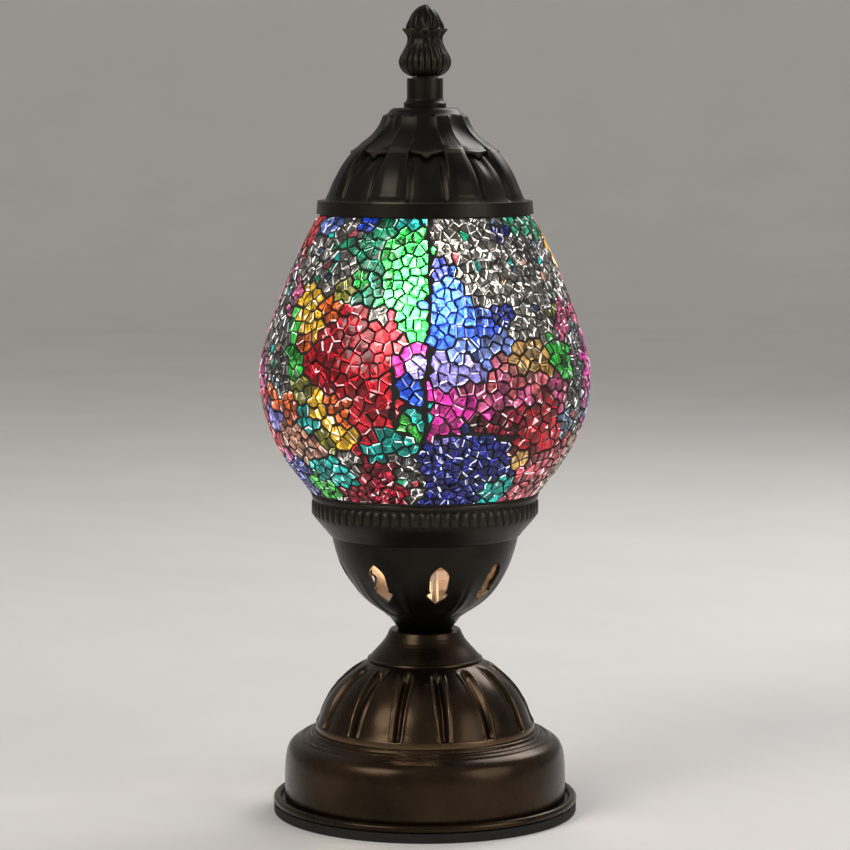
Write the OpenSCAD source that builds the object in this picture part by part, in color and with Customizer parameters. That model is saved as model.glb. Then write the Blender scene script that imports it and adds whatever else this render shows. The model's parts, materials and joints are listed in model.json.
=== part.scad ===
// Mosaic glass table lamp: an egg-shaped glass globe covered in crackle mosaic, on a spun
// metal base with a pierced bowl, under a fluted cap with a leaf finial.
// Millimetres, +Z up. The origin is the centre of the foot pad, on the table.

/* [Base] */
// Radius of the rolled foot rim
foot_r = 55.5; // [55:0.1:57]
// Thickness of the rubber foot pad
pad_t = 3.4; // [3.2:0.1:4.5]
// Thickness of the foot tray's floor
tray_t = 1.2; // [1:0.1:1.5]
// Radius of the drum
drum_r = 51.3; // [50.5:0.1:51.6]
// Height of the drum, with its flat top
drum_h = 25.6; // [24:0.1:27]
// Radius of the gadrooned dome where it stands on the drum
dome_r = 40; // [39.5:0.1:41]
// Height of the gadrooned dome
dome_h = 25.4; // [24:0.1:26.5]
// Number of gadroons round the dome
gadroons = 14; // [10:1:18]
// Height of the flared neck
neck_h = 11.4; // [11:0.1:12]
// Wall thickness of the pressed metal shells
shell_t = 1.6; // [1.2:0.1:1.8]

/* [Bowl] */
// Height of the pierced bowl
bowl_h = 34.5; // [33.5:0.1:35.5]
// Radius of the bowl's mouth
bowl_r = 33.9; // [33.5:0.1:34.5]
// Number of vents through the bowl
vents = 8; // [4:2:10]
// Direction of the first vent, from +X
first_vent = -80; // [-90:1:0]
// Height of a vent, point to point
vent_h = 17; // [12:0.5:18]
// Width of a vent
vent_w = 7; // [4:0.1:8]

/* [Shade] */
// Radius of the globe over its mosaic
globe_r = 60; // [59:0.1:61]
// Height of the reeded collar that holds the globe
collar_h = 15.5; // [15.2:0.1:16]
// Radius of the collar over its reeds
collar_r = 41.2; // [41:0.1:41.6]
// Number of grooves between the collar's reeds
reeds = 72; // [36:4:90]
// Height of the mosaic, from the collar's lip to the cap's rim
globe_h = 100.8; // [98:0.2:104]
// Thickness of the glass chips
chip_t = 0.9; // [0.6:0.1:1]
// Thickness of the grout bed under the chips
grout_t = 0.9; // [0.6:0.1:1]
// Thickness of the clear glass globe
glass_t = 2.4; // [2:0.1:2.6]

/* [Cap] */
// Height of the cap's plain rim
rim_h = 4.6; // [4.4:0.1:5.5]
// Height of the fluted cap above its rim
cap_h = 33.2; // [32:0.1:34]
// Number of pointed petals round the cap
petals = 8; // [6:1:10]
// Radius of the small collar under the finial
stem_r = 6.5; // [6:0.1:7]
// Height of the small collar under the finial
stem_h = 10.5; // [9.5:0.1:12]
// Height of the finial
finial_h = 25.5; // [24:0.1:26]
// Radius of the finial's round lower part
finial_r = 9.5; // [8.5:0.1:10]

/* [Lampholder and bulb] */
// Radius of the threaded lamp pipe
pipe_r = 4.95; // [4.9:0.05:5]
// Height of the lampholder's bottom above the bowl's foot
holder_up = 22.5; // [20:0.5:23]
// Radius of the bulb's glass
bulb_r = 17.5; // [15:0.5:18]
// Length of the bulb's glass
bulb_glass_h = 70; // [66:1:74]

/* [Hidden] */
$fn = 96;

// Clearances: a fit in one body, a shaft that turns, and pieces that lift apart
fit = 0.05;
face_gap = 0.1;
lift_gap = 0.2;

// Levels of the stack, bottom to top
tray_z = pad_t;
drum_z = tray_z + tray_t;
dome_z = drum_z + drum_h;
neck_z = dome_z + dome_h;
bowl_z = neck_z + neck_h;
collar_z = bowl_z + bowl_h + lift_gap;
mosaic_z = collar_z + collar_h + 0.2;
rim_z = mosaic_z + globe_h;
cap_z = rim_z + rim_h;
stem_z = cap_z + cap_h;
washer_z = stem_z + stem_h + face_gap;
finial_z = washer_z + 0.6;
holder_z = bowl_z + holder_up;
bulb_z = holder_z + 28.6;

// Colours
bronze = "#3a2f27";
dark_bronze = "#262320";
steel = "#b4b4b0";
brass = "#c9a24a";
rubber = "#161616";
cream = "#efe6d2";

// A curve from a to d, pulled towards b and c
function curve(a, b, c, d, n = 8) =
    [for (i = [0 : n]) let (t = i / n, s = 1 - t)
        s * s * s * a + 3 * s * s * t * b + 3 * s * t * t * c + t * t * t * d];

// A path without its first point, to follow another that ends there
function rest_of(path) = [for (i = [1 : len(path) - 1]) path[i]];
function backwards(path) = [for (i = [len(path) - 1 : -1 : 0]) path[i]];

// The outward direction at point i of an outline that runs upwards
function outward(path, i) =
    let (a = path[max(i - 1, 0)], b = path[min(i + 1, len(path) - 1)], d = (b - a) / norm(b - a))
        [d[1], -d[0]];

// The same outline, t further in
function inset(path, t) = [for (i = [0 : len(path) - 1]) path[i] - t * outward(path, i)];

// A turned skin between two depths under one outline
module skin(path, from, to) {
    rotate_extrude() polygon(concat(inset(path, from), backwards(inset(path, to))));
}

module tube(r_out, r_in, h, z) {
    rotate_extrude() translate([r_in, z]) square([r_out - r_in, h]);
}

module hex_nut(flats, bore_r, h, z) {
    difference() {
        translate([0, 0, z]) cylinder(r = flats / sqrt(3), h = h, $fn = 6);
        translate([0, 0, z - 1]) cylinder(r = bore_r, h = h + 2);
    }
}

// The centre and radius of the arc through three points
function arc_through(a, b, c) =
    let (p = b - a, q = c - a, k = 2 * (p[0] * q[1] - p[1] * q[0]),
         m = [(q[1] * (p * p) - p[1] * (q * q)) / k, (p[0] * (q * q) - q[0] * (p * p)) / k])
        [a + m, norm(m)];

// Round grooves, one in each of n planes through the axis. Each runs along an arc through
// three points of an outline, side mm further from the arc's centre.
module arc_grooves(n, turn, a, b, c, groove_r, side = 0) {
    arc = arc_through(a, b, c);
    from = atan2(a[1] - arc[0][1], a[0] - arc[0][0]);
    to = atan2(c[1] - arc[0][1], c[0] - arc[0][0]);
    sweep = (to - from + 540) % 360 - 180;
    for (i = [0 : n - 1])
        rotate(turn + i * 360 / n)
            translate([arc[0][0], 0, arc[0][1]])
                rotate([90, 0, 0])
                    rotate(min(from, from + sweep)) rotate_extrude(angle = abs(sweep), $fn = 48)
                        translate([arc[1] + side, 0]) circle(r = groove_r, $fn = 20);
}

// Foot -------------------------------------------------------------------------------

nut_room_r = 12;
module foot_pad() {
    pad_r = foot_r - 0.2;
    color(rubber) rotate_extrude() polygon([
        [nut_room_r, 0], [pad_r - 0.4, 0], [pad_r, 0.4], [pad_r, pad_t], [nut_room_r, pad_t]]);
}

// A flat dish with a rolled rim; the drum stands in it
roll_r = 1.5;
module foot_tray() {
    color(bronze) rotate_extrude() union() {
        translate([pipe_r + fit, tray_z]) square([foot_r - roll_r - pipe_r - fit, tray_t]);
        translate([foot_r - roll_r, tray_z + roll_r]) circle(r = roll_r, $fn = 48);
    }
}

ballast_r = 40;
ballast_h = 8;
module ballast_weight() {
    color("#55565a") tube(ballast_r, pipe_r + 1, ballast_h, drum_z);
}

// Drum, with a round shoulder and two beads below the dome ----------------------------

drum_top_r = drum_r - 5.7;
drum_path = concat(
    [[drum_r, drum_z]],
    curve([drum_r, drum_z + 7.4], [drum_r, dome_z - 6.2], [drum_r - 1.4, dome_z - 4.5],
          [drum_top_r, dome_z - 2.8], 8),
    [[drum_top_r - 2.2, dome_z - 1.6], [dome_r + 2, dome_z - 1], [dome_r + 1, dome_z]]);
inlet_z = 12;
inlet_r = 4.8;
module base_drum() {
    inner = concat(
        [[drum_r - shell_t, drum_z]],
        curve([drum_r - shell_t, drum_z + 7.4], [drum_r - shell_t, dome_z - 7.4],
              [drum_r - 3, dome_z - 6.2], [drum_top_r - 1, dome_z - 4.5], 8),
        [[dome_r + 1, dome_z - shell_t]]);
    color(bronze) difference() {
        union() {
            rotate_extrude() polygon(concat(
                drum_path, [[20, dome_z], [20, dome_z - shell_t]], backwards(inner)));
            rotate_extrude() translate([drum_top_r - 0.9, dome_z - 3.1]) circle(r = 0.9, $fn = 24);
            rotate_extrude() translate([dome_r + 1.2, dome_z - 1]) circle(r = 0.85, $fn = 24);
        }
        translate([0, drum_r - 5, inlet_z]) rotate([-90, 0, 0]) cylinder(r = inlet_r, h = 8);
    }
}

// Rubber bush in the rear of the drum, where the mains lead goes in
lead_r = 3.3;
module inlet_grommet() {
    sleeve = [[lead_r, 0], [6.4, 0], [6.4, 1.5], [inlet_r - fit, 1.5], [inlet_r - fit, 3.9],
              [6.4, 3.9], [6, 5.4], [lead_r, 5.4]];
    color(rubber) translate([0, drum_r - 3.8, inlet_z]) rotate([-90, 0, 0])
        rotate_extrude() polygon(sleeve);
}

// Gadrooned dome ----------------------------------------------------------------------

dome_top_r = 20.6;
dome_path = concat(
    [[dome_r, dome_z]],
    curve([dome_r, dome_z + 2], [dome_r - 2.3, dome_z + 5.9], [dome_r - 2.8, dome_z + 16.7],
          [dome_top_r, neck_z], 9));
module base_dome() {
    dome_t = shell_t + 0.6;
    color(bronze) difference() {
        rotate_extrude() polygon(concat(
            dome_path, [[pipe_r + 3, neck_z], [pipe_r + 3, neck_z - shell_t],
                        [dome_top_r - 2, neck_z - shell_t]],
            backwards([for (p = inset(dome_path, dome_t)) if (p[1] < neck_z - dome_t) p])));
        arc_grooves(gadroons, 10.4 - 90, dome_path[2], dome_path[5], dome_path[9], 1.4);
    }
}

// Flared neck between the dome and the bowl --------------------------------------------

neck_r = dome_top_r + 0.5;
neck_path = concat(
    [[neck_r - 0.4, neck_z], [neck_r, neck_z + 0.4], [neck_r - 0.2, neck_z + 0.9]],
    curve([neck_r - 0.8, neck_z + 1.1], [16.8, neck_z + 5.4], [14.7, neck_z + 6.4],
          [13, neck_z + neck_h - 0.4], 7));
module neck_flare() {
    color(bronze) rotate_extrude() polygon(concat(
        neck_path, [[12.6, neck_z + neck_h], [pipe_r + fit, neck_z + neck_h],
                    [pipe_r + fit, neck_z + neck_h - shell_t], [11.4, neck_z + neck_h - shell_t],
                    [12.6, neck_z + 7], [14.6, neck_z + 4.6], [17.6, neck_z + 1.8],
                    [18.6, neck_z]]));
}

// Threaded pipe that clamps the stack, with the lead inside -----------------------------

nut_h = 2.3;
washer_t = 0.6;
pipe_bottom = pad_t - washer_t - nut_h - 0.3;
module lamp_pipe() {
    bore_r = 3.5;
    color(steel) difference() {
        tube(pipe_r, bore_r, holder_z + 9 - pipe_bottom, pipe_bottom);
        translate([0, 0, drum_z + ballast_h + 4]) rotate([-90, 0, 0])
            cylinder(r = 2.6, h = pipe_r + 2);
    }
}

module bottom_nut() {
    color(steel) hex_nut(14, pipe_r + fit, nut_h, pad_t - washer_t - nut_h);
}

module bottom_washer() {
    color(steel) tube(8.5, pipe_r + fit, washer_t, pad_t - washer_t);
}

// Pierced bowl --------------------------------------------------------------------------

spigot_h = 5;
bowl_path = concat(
    [[9.6, bowl_z], [13, bowl_z + spigot_h - 0.3], [13.8, bowl_z + spigot_h + 0.2]],
    rest_of(curve([13.8, bowl_z + spigot_h + 0.2], [17.6, bowl_z + 8.4],
                  [bowl_r - 5.1, bowl_z + 10.6], [bowl_r, bowl_z + bowl_h], 12)));
bowl_floor_t = 2.6;

// A vent's outline, seen from outside: pointed arch, two side notches, barbed spear point
function vent_outline(w, h) =
    let (arch = curve([w / 2, 0.2 * h], [w / 2, 0.34 * h], [0.22 * w, 0.44 * h], [0, h / 2], 5),
         spear = [[0.3 * w, -0.38 * h], [0.54 * w, -0.28 * h], [0.54 * w, -0.22 * h],
                  [0.36 * w, -0.17 * h], [0.45 * w, -0.1 * h]])
        concat([[0, -h / 2]], spear, arch,
               [for (p = backwards(concat(spear, arch))) if (p[0] > 0) [-p[0], p[1]]]);

module pierced_bowl() {
    inner = concat(
        [[8.6, bowl_z + bowl_floor_t], [11.4, bowl_z + spigot_h + 0.8],
         [13, bowl_z + spigot_h + 1.8]],
        [for (p = inset(bowl_path, shell_t)) if (p[1] > bowl_z + spigot_h + 2.2)
            [p[0], min(p[1], bowl_z + bowl_h)]]);
    vent_r = 26.3;
    vent_z = bowl_z + 20.4;
    wall_lean = 25;
    color(bronze) difference() {
        rotate_extrude() polygon(concat(
            [[pipe_r + fit, bowl_z]], bowl_path, backwards(inner),
            [[pipe_r + fit, bowl_z + bowl_floor_t]]));
        for (i = [0 : vents - 1])
            rotate(first_vent + i * 360 / vents)
                translate([vent_r, 0, vent_z]) rotate([90, 0, 90]) rotate([wall_lean, 0, 0])
                    translate([0, 0, -9]) linear_extrude(height = 16)
                        polygon(vent_outline(vent_w, vent_h));
    }
}

module bowl_washer() {
    color(steel) tube(8.2, pipe_r + fit, 1.2, bowl_z + bowl_floor_t);
}

module bowl_nut() {
    color(steel) hex_nut(13.6, pipe_r + fit, 5, bowl_z + bowl_floor_t + 1.2);
}

// Lampholder ----------------------------------------------------------------------------

module holder_locknut() {
    color(steel) hex_nut(14, pipe_r + fit, 4, holder_z - 4.1);
}

module holder_cap() {
    color(cream) rotate_extrude() polygon([
        [pipe_r + fit, holder_z], [10.6, holder_z], [12.6, holder_z + 2.2],
        [13, holder_z + 15], [11.6, holder_z + 15], [11.2, holder_z + 3],
        [7.2, holder_z + 2.4], [7.2, holder_z + 10], [pipe_r + fit, holder_z + 10]]);
}

module holder_shell() {
    z = holder_z + 15;
    color(cream) rotate_extrude() polygon([
        [11.7, z], [13.6, z], [13.6, z + 6], [12.9, z + 7], [12.9, z + 30], [13.6, z + 31],
        [13.6, z + 35], [13, z + 35.6], [9, z + 35.6], [9, z + 34.2], [11.7, z + 34.2]]);
}

contact_hole_r = 2.6;
module holder_core() {
    z = holder_z + 16;
    color("#d9d2c4") difference() {
        tube(11.6, contact_hole_r, 8, z);
        for (side = [-1, 1])
            translate([side * 7, 0, z - 1]) cylinder(r = 1.5, h = 6);
    }
}

thread_r = 7;
module holder_thread() {
    z = holder_z + 24;
    color(brass) rotate_extrude() polygon([
        [4.6, z], [thread_r + 0.7, z], [thread_r + 0.7, z + 24], [8.4, z + 25.2],
        [8, z + 25.6], [thread_r + fit, z + 24.4], [thread_r + fit, z + 0.8], [4.6, z + 0.8]]);
}

module holder_contact() {
    z = holder_z + 18;
    color(brass) rotate_extrude() polygon([
        [0, z], [contact_hole_r - fit, z], [contact_hole_r - fit, z + 7], [3.6, z + 8],
        [3.6, z + 8.8], [0, bulb_z - face_gap]]);
}

module terminal_screws() {
    color(brass) for (side = [-1, 1]) {
        translate([side * 7, 0, holder_z + 11.6]) cylinder(r = 2.6, h = 2);
        translate([side * 7, 0, holder_z + 13.6]) cylinder(r = 1.45, h = 7);
    }
}

// Bulb, a candle shape on a small screw cap ----------------------------------------------

insulator_z = bulb_z + 1.4;
screw_z = insulator_z + 3.4;
glass_z = screw_z + 20;
module bulb_contact() {
    color(steel) rotate_extrude() polygon([
        [0, bulb_z], [1.6, bulb_z], [2.5, bulb_z + 0.6], [2.5, insulator_z], [0, insulator_z]]);
}

module bulb_insulator() {
    color(rubber) rotate_extrude() polygon([
        [0, insulator_z + face_gap], [2.6, insulator_z + face_gap], [5.6, screw_z], [0, screw_z]]);
}

module bulb_screw_cap() {
    color("#c8c6c0") rotate_extrude() polygon([
        [0, screw_z], [5.7, screw_z], [thread_r - fit, screw_z + 1.2],
        [thread_r - fit, glass_z - 1.4], [thread_r - 0.6, glass_z], [thread_r - 1.2, glass_z],
        [thread_r - 1, screw_z + 1.6], [0, screw_z + 1.6]]);
}

belly_z = glass_z + 0.4 * bulb_glass_h;
bulb_path = concat(
    curve([thread_r - 1, glass_z], [thread_r - 1, glass_z + 9], [bulb_r, glass_z + 9],
          [bulb_r, belly_z], 9),
    rest_of(curve([bulb_r, belly_z], [bulb_r, glass_z + 0.68 * bulb_glass_h],
                  [8, glass_z + 0.88 * bulb_glass_h], [2.4, glass_z + bulb_glass_h - 1.2], 9)),
    [[1.2, glass_z + bulb_glass_h - 0.2], [0, glass_z + bulb_glass_h]]);
module bulb_glass() {
    wall = 0.8;
    inner = [for (p = inset(bulb_path, wall)) if (p[0] > 1.2) [p[0], max(p[1], glass_z)]];
    color([1, 1, 1, 0.5]) rotate_extrude() polygon(concat(
        bulb_path, [[0, glass_z + bulb_glass_h - 2.4]], backwards(inner)));
}

stem_top = glass_z + 22;
module bulb_stem() {
    color([0.9, 0.95, 1, 0.6]) rotate_extrude() polygon([
        [0, glass_z - 16], [4.6, glass_z - 16], [4.6, glass_z], [2.4, glass_z + 8],
        [1.6, stem_top], [0, stem_top]]);
}

filament_h = 36;
filament_ring_r = 5.5;
module bulb_filaments() {
    hub_z = stem_top + 1.5;
    color("#ffd98a") {
        translate([0, 0, stem_top]) cylinder(r = 1, h = 3, $fn = 24);
        for (i = [0 : 3])
            rotate(45 + i * 90) {
                rotate([0, 90, 0]) translate([-hub_z, 0, 0])
                    cylinder(r = 0.4, h = filament_ring_r, $fn = 16);
                translate([filament_ring_r, 0, hub_z - 0.4])
                    cylinder(r = 0.9, h = filament_h, $fn = 24);
            }
    }
}

// Reeded collar, which seats in the bowl's mouth and holds the globe ----------------------

globe_seat = collar_z + 8.6;
channel_r = collar_r - 1.3;
module reeded_collar() {
    lip = collar_z + collar_h;
    spigot_r = bowl_r - 3;
    color(dark_bronze) difference() {
        rotate_extrude() polygon([
            [spigot_r, collar_z - 4.6], [spigot_r, collar_z], [34.4, collar_z],
            [34.9, collar_z + 0.5], [collar_r - 0.8, collar_z + 7.3], [collar_r, collar_z + 8.1],
            [collar_r, collar_z + 12.6], [collar_r - 0.5, collar_z + 13],
            [collar_r - 0.1, collar_z + 13.5], [collar_r - 0.1, lip], [channel_r, lip],
            [channel_r, globe_seat], [36, globe_seat], [36, globe_seat - 1.6],
            [31.5, collar_z + 1.5], [spigot_r - 1.2, collar_z + 0.9],
            [spigot_r - 1.2, collar_z - 4.6]]);
        for (i = [0 : reeds - 1])
            rotate(i * 360 / reeds)
                translate([collar_r + 0.25, 0, collar_z + 7.6]) cylinder(r = 0.6, h = 5, $fn = 16);
    }
}

// Globe: clear glass, a bed of grout and a skin of coloured chips --------------------------

glass_neck_r = channel_r - 1;
top_neck_r = 36;
widest_z = mosaic_z + 43.6;
mosaic_path = concat(
    curve([collar_r + 0.3, mosaic_z], [48.3, mosaic_z + 9], [globe_r, widest_z - 24.1],
          [globe_r, widest_z], 12),
    rest_of(curve([globe_r, widest_z], [globe_r, widest_z + 10.9],
                  [43.4, rim_z - 5.1], [37.7, rim_z - face_gap], 16)));
module mosaic_chips() {
    color("#b03a55") skin(mosaic_path, 0, chip_t);
}

module grout_bed() {
    color("#1d1a18") skin(mosaic_path, chip_t, chip_t + grout_t);
}

module glass_globe() {
    outer = inset(mosaic_path, chip_t + grout_t);
    inner = inset(mosaic_path, chip_t + grout_t + glass_t);
    foot_z = globe_seat + 0.1;
    top_z = rim_z + 3;
    color([0.9, 0.95, 1, 0.4]) rotate_extrude() polygon(concat(
        [[glass_neck_r, foot_z], [glass_neck_r, mosaic_z - 0.8]], outer,
        [[top_neck_r, rim_z + 0.3], [top_neck_r, top_z], [top_neck_r - glass_t, top_z],
         [top_neck_r - glass_t, rim_z - 0.6]],
        backwards(inner), [[glass_neck_r - glass_t, mosaic_z - 0.2],
                           [glass_neck_r - glass_t, foot_z]]));
}

module globe_seal() {
    color(rubber) tube(channel_r - fit, glass_neck_r + fit, 5.6, globe_seat + 0.1);
}

// Cap --------------------------------------------------------------------------------------

rim_r = 39.1;
rim_bore_r = rim_r - 2;
module cap_seal() {
    color(rubber) tube(rim_bore_r - fit, top_neck_r + fit, 2.6, rim_z + 0.4);
}

module cap_rim() {
    color(dark_bronze) rotate_extrude() polygon([
        [rim_bore_r, rim_z], [rim_r, rim_z], [rim_r - 0.4, cap_z], [rim_bore_r - 2, cap_z],
        [rim_bore_r - 2, cap_z - 1.4], [rim_bore_r, cap_z - 1.4]]);
}

ledge_z = cap_z + 15.2;
ledge_h = 2.3;
tip_r = 26.8;
notch_r = 23;
cap_top_r = 14.1;
module fluted_cap() {
    dome = curve([36.2, cap_z], [32.8, cap_z + 5.8], [34.2, cap_z + 8.6], [tip_r - 0.2, ledge_z], 8);
    skirt = curve([tip_r, ledge_z + ledge_h], [16.2, ledge_z + 8.1], [16.1, ledge_z + 11.1],
                  [cap_top_r, stem_z - 2.2], 8);
    shoulder = [[12.2, stem_z - 1.7], [10.4, stem_z - 0.2], [9.6, stem_z]];
    inner = concat(
        curve([34.6, cap_z], [31.2, cap_z + 5.4], [32, cap_z + 8.2], [23.4, ledge_z - 1.4], 8),
        curve([21.6, ledge_z + 0.4], [15.4, ledge_z + 5.6], [15, ledge_z + 8],
              [12.5, stem_z - 3], 7),
        [[10.2, stem_z - 1.5]]);
    petal_turn = 1.5 - 90;
    star = [for (i = [0 : 2 * petals - 1])
        (i % 2 == 0 ? tip_r + 0.1 : notch_r)
            * [cos(petal_turn + i * 180 / petals), sin(petal_turn + i * 180 / petals)]];
    color(dark_bronze) difference() {
        rotate_extrude() polygon(concat(
            dome, skirt, shoulder, [[3.3, stem_z], [3.3, stem_z - 1.5]], backwards(inner)));
        // The ledge is a star, with a pointed tip under each petal
        translate([0, 0, ledge_z]) linear_extrude(height = 8) difference() {
            circle(r = tip_r + 3);
            polygon(star);
        }
        // Flutes down the skirt, and the creases beside each rib of the dome
        arc_grooves(petals, petal_turn, skirt[1], skirt[4], skirt[8], 4, -3);
        for (side = [-1, 1])
            arc_grooves(petals, petal_turn + side * 10.5, dome[1], dome[4], dome[7], 0.7);
    }
}

// M6 nut and washer inside the cap, for the finial's stud
stud_r = 2.95;
module cap_nut() {
    color(steel) hex_nut(10, stud_r + fit, 4.6, stem_z - 6.8);
}

module cap_washer() {
    color(steel) tube(7, stud_r + fit, 0.6, stem_z - 2.15);
}

module finial_collar() {
    color(dark_bronze) rotate_extrude() polygon([
        [stud_r + 0.3, stem_z], [stem_r + 1.1, stem_z], [stem_r + 1.2, stem_z + 1.6],
        [stem_r + 0.4, stem_z + 2.4], [stem_r, stem_z + 3.2], [stem_r, stem_z + stem_h],
        [stud_r + 0.3, stem_z + stem_h]]);
}

module finial_washer() {
    color("#e8e4da") tube(4.7, stud_r + fit, 0.5, washer_z);
}

module finial_stud() {
    color(steel) translate([0, 0, stem_z - 8]) cylinder(r = stud_r, h = finial_z - stem_z + 14);
}

// Finial: ribbed bulb, leaf cup with turned-out tips, pointed bud
leaves = 8;
module finial() {
    waist_z = finial_z + 4.5;
    cup_z = finial_z + 16.8;
    tip_z = finial_z + finial_h;
    outline = concat(
        curve([5, finial_z], [finial_r + 0.3, finial_z + 2], [finial_r, finial_z + 3.2],
              [finial_r, waist_z], 5),
        rest_of(curve([finial_r, waist_z], [finial_r, waist_z + 3.4], [3.8, waist_z + 6.9],
                      [6.9, cup_z - 0.6], 7)),
        [[6.5, cup_z], [6.1, cup_z + 0.2]],
        rest_of(curve([6.1, cup_z + 0.2], [6.1, cup_z + 3.2], [2.6, tip_z], [0, tip_z], 7)));
    color(dark_bronze) difference() {
        union() {
            rotate_extrude() polygon(concat([[0, finial_z]], outline));
            for (i = [0 : leaves - 1])
                rotate(i * 360 / leaves) translate([4.6, 0, cup_z - 2.4]) rotate([0, 58, 0])
                    cylinder(r1 = 1.9, r2 = 0.3, h = 3.3, $fn = 20);
        }
        translate([0, 0, finial_z - 1]) cylinder(r = stud_r + 0.02, h = 7.1);
        for (i = [0 : 2 * leaves - 1])
            rotate((i + 0.5) * 180 / leaves) translate([finial_r + 0.2, 0, finial_z - 0.5])
                rotate([0, -14, 0]) cylinder(r = 0.8, h = 6.4, $fn = 16);
    }
}

foot_pad();
foot_tray();
ballast_weight();
base_drum();
inlet_grommet();
base_dome();
neck_flare();
lamp_pipe();
bottom_nut();
bottom_washer();
pierced_bowl();
bowl_washer();
bowl_nut();
holder_locknut();
holder_cap();
holder_shell();
holder_core();
holder_thread();
holder_contact();
terminal_screws();
bulb_contact();
bulb_insulator();
bulb_screw_cap();
bulb_glass();
bulb_stem();
bulb_filaments();
reeded_collar();
globe_seal();
glass_globe();
grout_bed();
mosaic_chips();
cap_seal();
cap_rim();
fluted_cap();
cap_nut();
cap_washer();
finial_collar();
finial_washer();
finial_stud();
finial();
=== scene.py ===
"""Looks of a mosaic glass table lamp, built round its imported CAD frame.

Lengths in this file are millimetres and angles are degrees until a mesh is made. An azimuth is
measured from the front of the lamp, -Y, towards +X.
"""
import json
import math
import random

import bmesh
import bpy
import numpy as np
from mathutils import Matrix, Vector


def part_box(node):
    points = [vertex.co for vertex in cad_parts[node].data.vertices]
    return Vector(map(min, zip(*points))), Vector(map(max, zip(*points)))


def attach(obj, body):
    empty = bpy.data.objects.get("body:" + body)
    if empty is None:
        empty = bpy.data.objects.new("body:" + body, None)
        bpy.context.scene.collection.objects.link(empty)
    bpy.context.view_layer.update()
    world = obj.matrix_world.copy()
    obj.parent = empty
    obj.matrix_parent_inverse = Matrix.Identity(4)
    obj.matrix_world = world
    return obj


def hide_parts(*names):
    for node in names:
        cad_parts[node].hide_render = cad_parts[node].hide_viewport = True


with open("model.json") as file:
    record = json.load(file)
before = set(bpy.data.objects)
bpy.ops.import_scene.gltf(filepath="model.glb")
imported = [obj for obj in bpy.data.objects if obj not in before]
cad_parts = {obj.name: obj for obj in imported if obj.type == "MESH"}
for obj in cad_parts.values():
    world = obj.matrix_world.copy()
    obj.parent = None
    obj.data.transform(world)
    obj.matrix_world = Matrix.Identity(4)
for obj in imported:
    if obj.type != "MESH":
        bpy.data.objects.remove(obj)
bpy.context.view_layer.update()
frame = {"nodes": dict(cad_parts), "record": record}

MM = 0.001

# Camera and stage ----------------------------------------------------------------------

CAMERA_DISTANCE = 1130.6
CAMERA_HEIGHT = 260.5
CAMERA_PITCH = 6.005
LENS = 132.83


def make_camera():
    data = bpy.data.cameras.new("photo_camera")
    data.lens = LENS
    data.sensor_width = 36.0
    data.clip_end = 20.0
    camera = bpy.data.objects.new("photo_camera", data)
    camera.location = (0.0, -CAMERA_DISTANCE * MM, CAMERA_HEIGHT * MM)
    camera.rotation_euler = (math.radians(90.0 - CAMERA_PITCH), 0.0, 0.0)
    bpy.context.scene.collection.objects.link(camera)
    bpy.context.scene.camera = camera
    bpy.context.scene.view_settings.view_transform = "Standard"


make_camera()

# Mesh helpers --------------------------------------------------------------------------


def bezier(a, b, c, d, n=16):
    """n + 1 points of the cubic curve from a to d, pulled towards b and c."""
    points = []
    for i in range(n + 1):
        t = i / n
        s = 1.0 - t
        k = (s ** 3, 3 * s * s * t, 3 * s * t * t, t ** 3)
        points.append(tuple(k[0] * p + k[1] * q + k[2] * r + k[3] * u
                            for p, q, r, u in zip(a, b, c, d)))
    return points


def smooth_step(x, low, high):
    t = min(1.0, max(0.0, (x - low) / (high - low)))
    return t * t * (3.0 - 2.0 * t)


def bell(x, width):
    """1 at x = 0, falling to almost nothing beyond twice the width."""
    return math.exp(-(x / width) ** 2)


def folded(azimuth, first, count):
    """Degrees from the nearest of count equal directions, the first at first."""
    pitch = 360.0 / count
    return (azimuth - first + pitch / 2) % pitch - pitch / 2


def at(radius, azimuth, z):
    """The point in the row frame, in metres."""
    a = math.radians(azimuth)
    return (radius * math.sin(a) * MM, -radius * math.cos(a) * MM, z * MM)


def add_mesh(name, vertices, faces, material, smooth):
    mesh = bpy.data.meshes.new(name)
    mesh.from_pydata(vertices, [], faces)
    mesh.validate()
    mesh.materials.append(material)
    for polygon in mesh.polygons:
        polygon.use_smooth = smooth
    thing = bpy.data.objects.new(name, mesh)
    bpy.context.scene.collection.objects.link(thing)
    return thing


def add_piece(name, vertices, faces, material, body, smooth=True):
    piece = add_mesh(name, vertices, faces, material, smooth)
    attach(piece, body)
    return piece


def grid_faces(rows, columns, closed):
    """Quads between rows of points that close round the axis. closed joins the end rows too."""
    faces = []
    for i in range(rows if closed else rows - 1):
        j = (i + 1) % rows
        for k in range(columns):
            m = (k + 1) % columns
            faces.append((i * columns + k, i * columns + m, j * columns + m, j * columns + k))
    return faces


def add_turned(name, section, columns, material, body, rows_closed=True, sharp=()):
    """A piece turned about the axis. section(azimuth) gives its (radius, z) points, up the
    outside first. The rows in sharp have hard edges."""
    rings = [section(360.0 * k / columns) for k in range(columns)]
    rows = len(rings[0])
    vertices = [at(rings[k][i][0], 360.0 * k / columns, rings[k][i][1])
                for i in range(rows) for k in range(columns)]
    faces = grid_faces(rows, columns, rows_closed)
    if not rows_closed:
        faces.append(tuple(range(columns))[::-1])
        faces.append(tuple((rows - 1) * columns + k for k in range(columns)))
    piece = add_piece(name, vertices, faces, material, body)
    for edge in piece.data.edges:
        i, j = (v // columns for v in edge.vertices)
        if i == j and i in sharp:
            edge.use_edge_sharp = True
    return piece


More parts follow.
